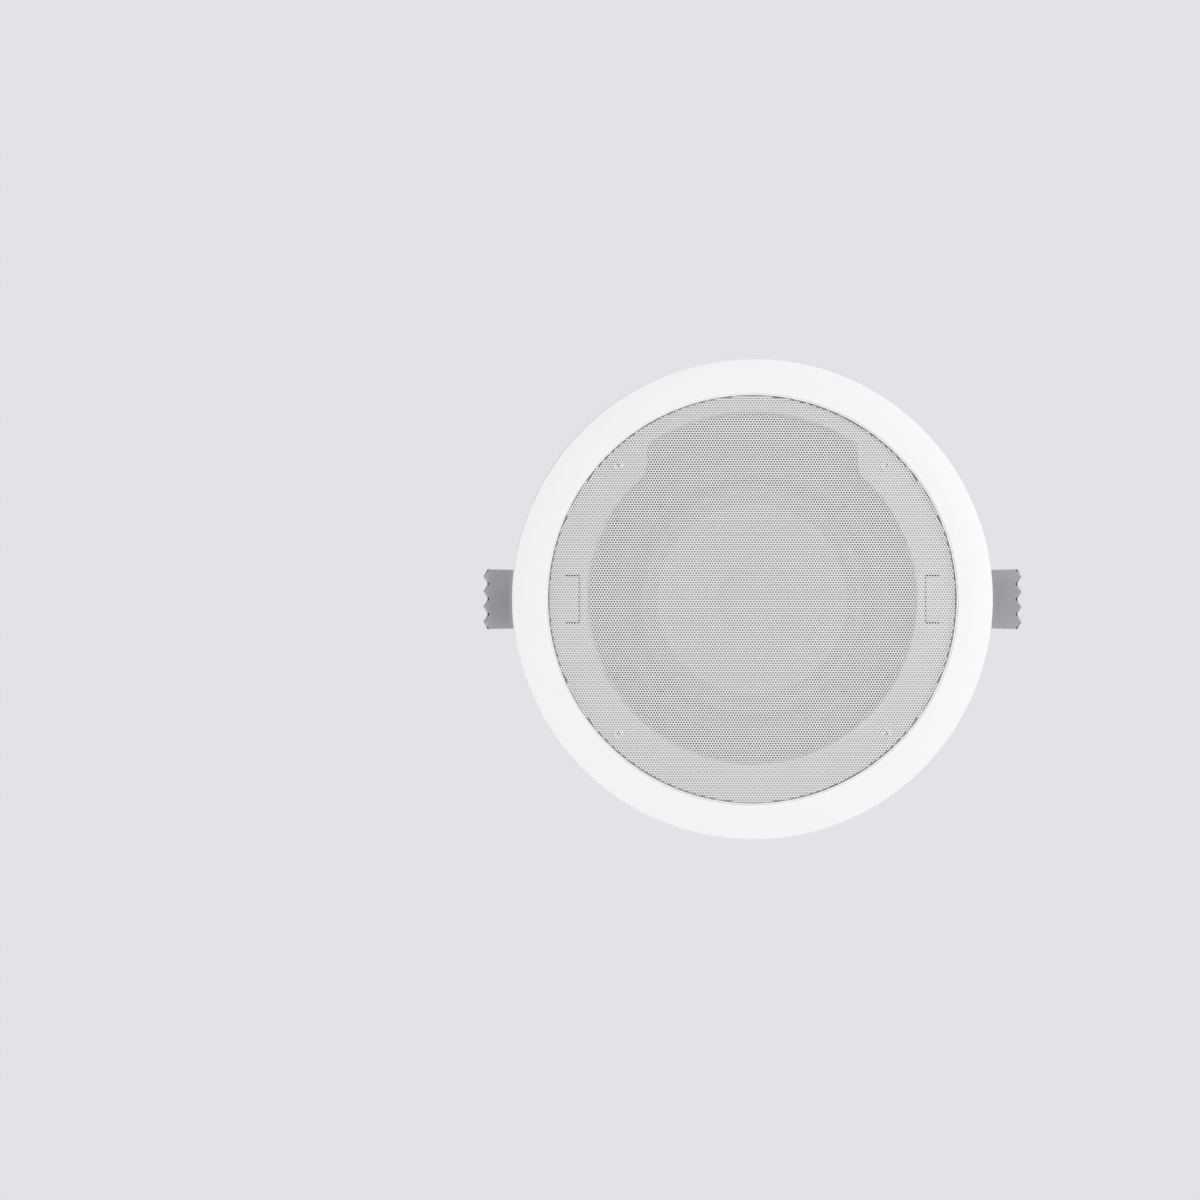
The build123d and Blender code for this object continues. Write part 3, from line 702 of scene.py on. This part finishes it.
@dataclass
class ScrewGroup:
    """Pan-head screws with a cross recess, in place of the plain ones.

    Attributes:
        node: The plain screws.
        angles: Where the screws stand round the axis, in degrees.
        head: Diameter of the head.
        height: Height of the head.
        shank: Diameter of the shank.
        recess: Half length of the recess's arms.
        arm: Half width of the recess's arms.
        depth: Depth of the recess.
        finish: Finish of the screws.
        brim: Share of the head's height at its rim.
        fullness: Power of the head's curve, 2 for an ellipse.
        taper: Share by which the recess's arms narrow towards the rim.
        shallow: Share of its depth that the recess loses at its ends.
        pole: Share of the head's radius at which the grid starts.
        point: Length of the shank's bevelled end.
        tip: Diameter of the shank's end.
        close: Radius at which the shank's end is closed.
        rings: Points from the head's middle to its rim.
        sides: Points round the axis.
    """

    node: str
    angles: tuple[float, ...]
    head: float = 5.4 * MM
    height: float = 2.0 * MM
    shank: float = 3.0 * MM
    recess: float = 1.55 * MM
    arm: float = 0.5 * MM
    depth: float = 1.1 * MM
    finish: Finish = ZINC
    brim: float = 0.45
    fullness: float = 2.5
    taper: float = 0.25
    shallow: float = 0.55
    pole: float = 0.02
    point: float = 0.4 * MM
    tip: float = 2.5 * MM
    close: float = 0.1 * MM
    rings: int = 16
    sides: int = 48

    def one(self, seat: float, top: float) -> tuple[np.ndarray, np.ndarray]:
        """One screw on the axis: a polar grid over the head, then down its side and up the shank.

        The head's section is (1 - (r / rim)^fullness)^(1/2) over a straight brim, cut by a cross where |x| or
        |y| is under the arm's half width.

        Args:
            seat: Height of the head's bearing face.
            top: Height of the shank's end.

        Returns:
            Points as an array of section by angle by coordinate, and how deep each point is cut.
        """
        angle = np.linspace(0.0, 2.0 * math.pi, self.sides, endpoint=False)[None, :]
        rim, shank = self.head / 2.0, self.shank / 2.0
        reach = np.linspace(self.pole, 1.0, self.rings)[:, None] * rim
        curve = np.sqrt(np.clip(1.0 - (reach / rim) ** self.fullness, 0.0, 1.0))
        crown = self.height * (self.brim + (1.0 - self.brim) * curve)
        x, y = reach * np.cos(angle), reach * np.sin(angle)
        narrow = np.minimum(np.abs(x), np.abs(y)) < self.arm * (1.0 - self.taper * reach / rim)
        sunk = self.depth * (1.0 - self.shallow * reach / self.recess)
        cut = np.where(narrow & (reach < self.recess), sunk, 0.0)
        head = np.stack([x, y, seat - crown + cut], axis=-1)
        radii = np.array([rim, shank, shank, self.tip / 2.0, self.close])[:, None]
        heights = np.array([seat, seat, top - self.point, top, top])[:, None]
        body = np.stack([radii * np.cos(angle), radii * np.sin(angle), heights + 0.0 * angle], axis=-1)
        depth = np.concatenate([cut / self.depth, 0.0 * body[..., 0]])
        return np.concatenate([head, body]), depth

    def material(self, shop: Workshop) -> bpy.types.Material:
        """Make the screws' material, with painted shade in the recess, stronger with the depth that each
        point carries.

        Args:
            shop: Where the grain comes from.

        Returns:
            The material.
        """
        material = self.finish.material(shop.group)
        recess = material.node_tree.nodes.new("ShaderNodeAttribute")
        recess.attribute_name = "recess"
        # Painted shade: the cross recess goes near black with its depth.
        tint(material, recess.outputs["Fac"], (0.01, 0.01, 0.01))
        return material

    def build(self, shop: Workshop) -> bpy.types.Object:
        """Copy the screw to each place.

        Args:
            shop: Where the finish comes from.

        Returns:
            The object of the whole group.
        """
        low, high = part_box(self.node)
        turn = np.radians(np.array(self.angles))
        reach = (high[0] - self.head / 2.0) / np.cos(turn).max()
        shape, depth = self.one(low[2] + self.height, high[2])
        rings, sides = shape.shape[:2]
        places = np.stack([reach * np.cos(turn), reach * np.sin(turn), 0.0 * turn], axis=-1)
        points = places[:, None, :] + shape.reshape(1, -1, 3)
        faces = grid_faces(rings, sides, False, True)[:, ::-1]
        count = len(self.angles)
        first = np.arange(count)[:, None] * rings * sides
        numbered = faces[None, :, :] + first[:, :, None]
        crowns = first + np.arange(sides)[None, :]
        tips = first + (rings - 1) * sides + np.arange(sides)[None, ::-1]
        caps = np.concatenate([crowns, tips])
        piece = add_mesh(f"{self.node}_pan_head", points, numbered.reshape(-1, 4), caps)
        mark = piece.data.attributes.new("recess", "FLOAT", "POINT")
        mark.data.foreach_set("value", np.tile(depth.ravel(), count).astype(np.float32))
        piece.data.materials.append(self.material(shop))
        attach(piece, "housing")
        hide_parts(self.node)
        LOG.info("%d screws replace %s", count, self.node)
        return piece


def math_node(
    material: bpy.types.Material,
    operation: str,
    first: bpy.types.NodeSocket | float,
    second: bpy.types.NodeSocket | float = 0.0,
) -> bpy.types.NodeSocket:
    """Add a Math node on sockets or plain numbers.

    Args:
        material: Material that gets the node.
        operation: Name of the operation.
        first: First operand.
        second: Second operand, where the operation has one.

    Returns:
        The socket with the result.
    """
    node = material.node_tree.nodes.new("ShaderNodeMath")
    node.operation = operation
    for entry, value in zip(node.inputs, (first, second)):
        if isinstance(value, bpy.types.NodeSocket):
            material.node_tree.links.new(value, entry)
        else:
            entry.default_value = value
    return node.outputs["Value"]


def tint(material: bpy.types.Material, mask: bpy.types.NodeSocket, color: tuple[float, float, float]) -> None:
    """Recolour a finish where a mask is 1, over what colours it so far.

    Args:
        material: Material of a finish.
        mask: Socket with the mask.
        color: Linear colour under the mask.
    """
    nodes, links = material.node_tree.nodes, material.node_tree.links
    mix = nodes.new("ShaderNodeMix")
    mix.data_type = "RGBA"
    mix.inputs["B"].default_value = (*color, 1.0)
    links.new(mask, mix.inputs["Factor"])
    base = nodes["Principled BSDF"].inputs["Base Color"]
    links.new(base.links[0].from_socket, mix.inputs["A"])
    links.new(mix.outputs["Result"], base)


@dataclass(frozen=True)
class ShadeTint:
    """Painted shade inside a radius and between two heights, such as on the plate behind the grille.

    Attributes:
        finish: Finish of the piece.
        color: Linear colour of the painted shade.
        reach: Radius of the place.
        above: Height over which it lies.
        below: Height under which it lies.
    """

    finish: Finish
    color: tuple[float, float, float]
    reach: float
    above: float
    below: float

    def material(self, shop: Workshop) -> bpy.types.Material:
        """Make the piece's material, with painted shade over the place.

        The mask is 1 inside the radius and between the heights.

        Args:
            shop: Where the grain comes from.

        Returns:
            The material.
        """
        material = self.finish.material(shop.group)
        nodes, links = material.node_tree.nodes, material.node_tree.links
        place = nodes.new("ShaderNodeTexCoord")
        spot = nodes.new("ShaderNodeSeparateXYZ")
        links.new(place.outputs["Object"], spot.inputs["Vector"])
        use = partial(math_node, material)
        across = use("MULTIPLY", spot.outputs["X"], spot.outputs["X"])
        up = use("MULTIPLY", spot.outputs["Y"], spot.outputs["Y"])
        inside = use("LESS_THAN", use("ADD", across, up), self.reach**2)
        over = use("GREATER_THAN", spot.outputs["Z"], self.above)
        under = use("LESS_THAN", spot.outputs["Z"], self.below)
        # Painted shade: the masked place takes the darker colour.
        tint(material, use("MULTIPLY", use("MULTIPLY", inside, over), under), self.color)
        return material


# Painted shade: the bezel's plate behind the grille is greyed, as it lies in shade behind the holes.
PAINTED_SHADE_PLATE = ShadeTint(WHITE_FRAME, (0.50, 0.50, 0.50), 97.9 * MM, -2.6 * MM, -0.3 * MM)
# Painted shade: the box's flange face, seen through the bezel's slits and screw holes, is made near black.
PAINTED_SHADE_FLANGE = ShadeTint(WHITE_BOX, (0.008, 0.008, 0.008), 93.0 * MM, -1.0 * MM, 0.2 * MM)


@dataclass(frozen=True)
class PaintedToothShade:
    """Painted shade on the cut edges at the arms' toothed tips.

    Attributes:
        color: Linear colour of the painted shade on the outer corners and the notches' roots.
        cut: Linear colour of the painted shade on the other cut edges.
        below: Height under which the teeth lie.
        outside: Distance from the middle of the arm beyond which the outer flanks are dark.
        root: Distance along the tip, from the speaker's axis, up to which the notches' roots are dark.
        lean: Angle of the tip from the speaker's axis, in degrees.
        square: Share of a face's direction square to the sheet under which it is a cut edge.
        flank: Share of a face's direction along the pin under which it isn't a notch's flank.
    """

    color: tuple[float, float, float] = (0.012, 0.012, 0.012)
    cut: tuple[float, float, float] = (0.34, 0.34, 0.35)
    below: float = 15.4 * MM
    outside: float = 13.3 * MM
    root: float = 54.3 * MM
    lean: float = 31.0
    square: float = 0.5
    flank: float = 0.9

    def material(self, shop: Workshop) -> bpy.types.Material:
        """Make the arm's material: rolled sheet, with painted shade on its cut edges at the tip.

        Cut edges are the faces of the tip that don't look square to the sheet. Those that are an outer flank
        or the flat root of a notch get the darkest painted shade.

        Args:
            shop: Where the sheet's finish comes from.

        Returns:
            The material.
        """
        material = ARM.material(shop.group)
        nodes, links = material.node_tree.nodes, material.node_tree.links
        place = nodes.new("ShaderNodeTexCoord")
        spot = nodes.new("ShaderNodeSeparateXYZ")
        facing = nodes.new("ShaderNodeSeparateXYZ")
        links.new(place.outputs["Object"], spot.inputs["Vector"])
        links.new(place.outputs["Normal"], facing.inputs["Vector"])

        use = partial(math_node, material)
        turn = math.radians(self.lean)
        side = use("SIGN", spot.outputs["X"])
        across = use("MULTIPLY", use("MULTIPLY", side, facing.outputs["X"]), math.cos(turn))
        upward = use("MULTIPLY", facing.outputs["Z"], math.sin(turn))
        edge = use("LESS_THAN", use("ABSOLUTE", use("ADD", across, upward)), self.square)
        low = use("LESS_THAN", spot.outputs["Z"], self.below)
        outer = use("GREATER_THAN", use("ABSOLUTE", spot.outputs["Y"]), self.outside)
        away = use("MULTIPLY", use("ABSOLUTE", spot.outputs["X"]), math.sin(turn))
        down = use("MULTIPLY", spot.outputs["Z"], math.cos(turn))
        near = use("LESS_THAN", use("SUBTRACT", away, down), self.root)
        flat = use("LESS_THAN", use("ABSOLUTE", facing.outputs["Y"]), self.flank)
        dark = use("MAXIMUM", outer, use("MULTIPLY", near, flat))
        toothed = use("MULTIPLY", edge, low)
        # Painted shade: the teeth's cut edges are greyed.
        tint(material, toothed, self.cut)
        # Painted shade: outer flanks and notch roots are made near black.
        tint(material, use("MULTIPLY", toothed, dark), self.color)
        return material


@dataclass(frozen=True)
class Lamp:
    """One square soft lamp.

    Attributes:
        name: Lamp name.
        place: Where it hangs.
        power: Watts.
        size: Side of the square.
    """

    name: str
    place: tuple[float, float, float]
    power: float
    size: float


LAMPS: tuple[Lamp, ...] = (
    Lamp("key_below", (-2.1, 0.3, -2.5), 46.0, 0.9),
    Lamp("fill_below", (1.6, -0.6, -1.8), 14.0, 1.6),
    Lamp("key_above", (-0.5, -0.7, 1.1), 3.0, 0.9),
    Lamp("side_front", (0.9, -1.8, 0.45), 9.0, 1.2),
    Lamp("side_back", (-0.9, 1.8, 0.45), 9.0, 1.2),
)


@dataclass
class Studio:
    """Camera, lamps, floor and backdrop.

    Attributes:
        distance: Distance of the camera from the ceiling face.
        rim_radius: Radius of the bezel.
        rim_depth: Depth of the bezel's rim below the ceiling face.
        rim_pixels: The same radius in the photograph.
        middle: Pixel of the speaker's axis in the photograph.
        backdrop: Colour behind the object.
        ambient: Strength of the even light from all round.
        aim: Point that the lamps shine at.
        floor_half: Half the side of the floor.
        floor_height: Height of the floor, below the camera.
    """

    distance: float = 870.0 * MM
    rim_radius: float = 115.0 * MM
    rim_depth: float = 3.5 * MM
    rim_pixels: float = 240.6
    middle: tuple[float, float] = (752.4, 599.2)
    backdrop: tuple[float, float, float] = (0.768, 0.760, 0.799)
    ambient: float = 0.62
    aim: tuple[float, float, float] = (0.0, 0.0, 0.03)
    floor_half: float = 8.0
    floor_height: float = -3.4

    def camera(self) -> None:
        """Look straight up at the grille, with the speaker where the photograph has it."""
        data = bpy.data.cameras.new("photo_camera")
        data.sensor_width = SENSOR
        data.lens = SENSOR * self.rim_pixels / PHOTO_SIZE * (self.distance - self.rim_depth) / self.rim_radius
        data.shift_x = (PHOTO_SIZE / 2.0 - self.middle[0]) / PHOTO_SIZE
        data.shift_y = (self.middle[1] - PHOTO_SIZE / 2.0) / PHOTO_SIZE
        camera = bpy.data.objects.new("photo_camera", data)
        camera.location = (0.0, 0.0, -self.distance)
        camera.rotation_euler = (0.0, math.pi, 0.0)
        bpy.context.scene.collection.objects.link(camera)
        bpy.context.scene.camera = camera

    def hang(self, lamp: Lamp) -> None:
        """Hang one lamp that shines at the object.

        Args:
            lamp: The lamp to hang.
        """
        data = bpy.data.lights.new(lamp.name, "AREA")
        data.energy = lamp.power
        data.size = lamp.size
        hung = bpy.data.objects.new(lamp.name, data)
        hung.location = lamp.place
        beam = np.array(self.aim) - np.array(lamp.place)
        flat = math.hypot(beam[0], beam[1])
        hung.rotation_euler = (math.atan2(flat, -beam[2]), 0.0, math.atan2(beam[1], beam[0]) - math.pi / 2.0)
        bpy.context.scene.collection.objects.link(hung)

    def show(
        self,
        tree: bpy.types.NodeTree,
        light: bpy.types.NodeSocket,
        seen: bpy.types.NodeSocket,
        output: bpy.types.Node,
    ) -> None:
        """Let a surface light the object one way, and look another way to the camera and to gloss.

        Args:
            tree: Node tree of the surface.
            light: Shader for the light that it gives.
            seen: Shader for how it looks.
            output: The tree's output node.
        """
        rays = tree.nodes.new("ShaderNodeLightPath").outputs
        both = tree.nodes.new("ShaderNodeMath")
        every = tree.nodes.new("ShaderNodeMath")
        both.operation = every.operation = "MAXIMUM"
        tree.links.new(rays["Is Camera Ray"], both.inputs[0])
        tree.links.new(rays["Is Glossy Ray"], both.inputs[1])
        tree.links.new(both.outputs["Value"], every.inputs[0])
        tree.links.new(rays["Is Transmission Ray"], every.inputs[1])
        mix = tree.nodes.new("ShaderNodeMixShader")
        tree.links.new(every.outputs["Value"], mix.inputs["Fac"])
        tree.links.new(light, mix.inputs[1])
        tree.links.new(seen, mix.inputs[2])
        tree.links.new(mix.outputs["Shader"], output.inputs["Surface"])

    def surroundings(self) -> None:
        """Light the object evenly from all round, and show the backdrop colour to the camera and to gloss."""
        world = bpy.data.worlds.new("backdrop")
        bpy.context.scene.world = world
        world.use_nodes = True
        nodes = world.node_tree.nodes
        light = nodes["Background"]
        light.inputs["Color"].default_value = (1.0, 1.0, 1.0, 1.0)
        light.inputs["Strength"].default_value = self.ambient
        seen = nodes.new("ShaderNodeBackground")
        seen.inputs["Color"].default_value = (*self.backdrop, 1.0)
        tree = world.node_tree
        self.show(tree, light.outputs["Background"], seen.outputs["Background"], nodes["World Output"])

    def floor(self, shop: Workshop) -> None:
        """Lay a plain pale floor well below the camera.

        Args:
            shop: Where the finish comes from.
        """
        signs = np.array([[-1.0, -1.0], [1.0, -1.0], [1.0, 1.0], [-1.0, 1.0]])
        corners = np.column_stack([self.floor_half * signs, np.full(len(signs), self.floor_height)])
        floor = add_mesh("floor", corners, np.arange(len(signs))[None, :])
        material = shop.material(PALE_FLOOR)
        nodes = material.node_tree.nodes
        seen = nodes.new("ShaderNodeEmission")
        seen.inputs["Color"].default_value = (*self.backdrop, 1.0)
        shade = nodes["Principled BSDF"].outputs["BSDF"]
        self.show(material.node_tree, shade, seen.outputs["Emission"], nodes["Material Output"])
        floor.data.materials.append(material)

    def build(self, shop: Workshop) -> None:
        """Set up the whole studio.

        Args:
            shop: Where the floor's finish comes from.
        """
        self.camera()
        self.surroundings()
        self.floor(shop)
        for lamp in LAMPS:
            self.hang(lamp)
        bpy.context.scene.view_settings.view_transform = "Standard"
        LOG.info("studio ready")


def main() -> None:
    """Dress the speaker piece by piece."""
    logging.basicConfig(level=logging.INFO, format="%(message)s")
    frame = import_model()
    shop = Workshop()
    Studio().build(shop)
    materials = {name: shop.material(finish) for name, finish in NODE_FINISHES.items()}
    materials["right_arm"] = materials["left_arm"] = PaintedToothShade().material(shop)
    materials["bezel_frame"] = PAINTED_SHADE_PLATE.material(shop)
    materials["back_box"] = PAINTED_SHADE_FLANGE.material(shop)
    for name, material in materials.items():
        dress(frame["nodes"][name], material)
    Grille().build(shop)
    for side, sign in (("right", 1.0), ("left", -1.0)):
        ClampArm(side, sign).spring(shop)
    SoftRing(
        "surround_roll", "surround", "surround_rubber",
        sheet=0.7 * MM, waves=1, rise=4.0 * MM, inner_lip=2.5 * MM, outer_lip=4.5 * MM,
    ).build(shop, SURROUND)
    SoftRing(
        "spider_cloth", "spider", "spider_cloth",
        sheet=0.5 * MM, waves=7, rise=1.6 * MM, inner_lip=1.5 * MM, outer_lip=3.0 * MM,
    ).build(shop, SPIDER)
    ScrewGroup("frame_screws", DIAGONALS).build(shop)
    ScrewGroup("driver_screws", DIAGONALS, finish=DULL_SCREW).build(shop)
    ScrewGroup("baffle_screws", BAFFLE_SCREW_ANGLES, finish=DULL_SCREW).build(shop)


if __name__ == "__main__":
    main()
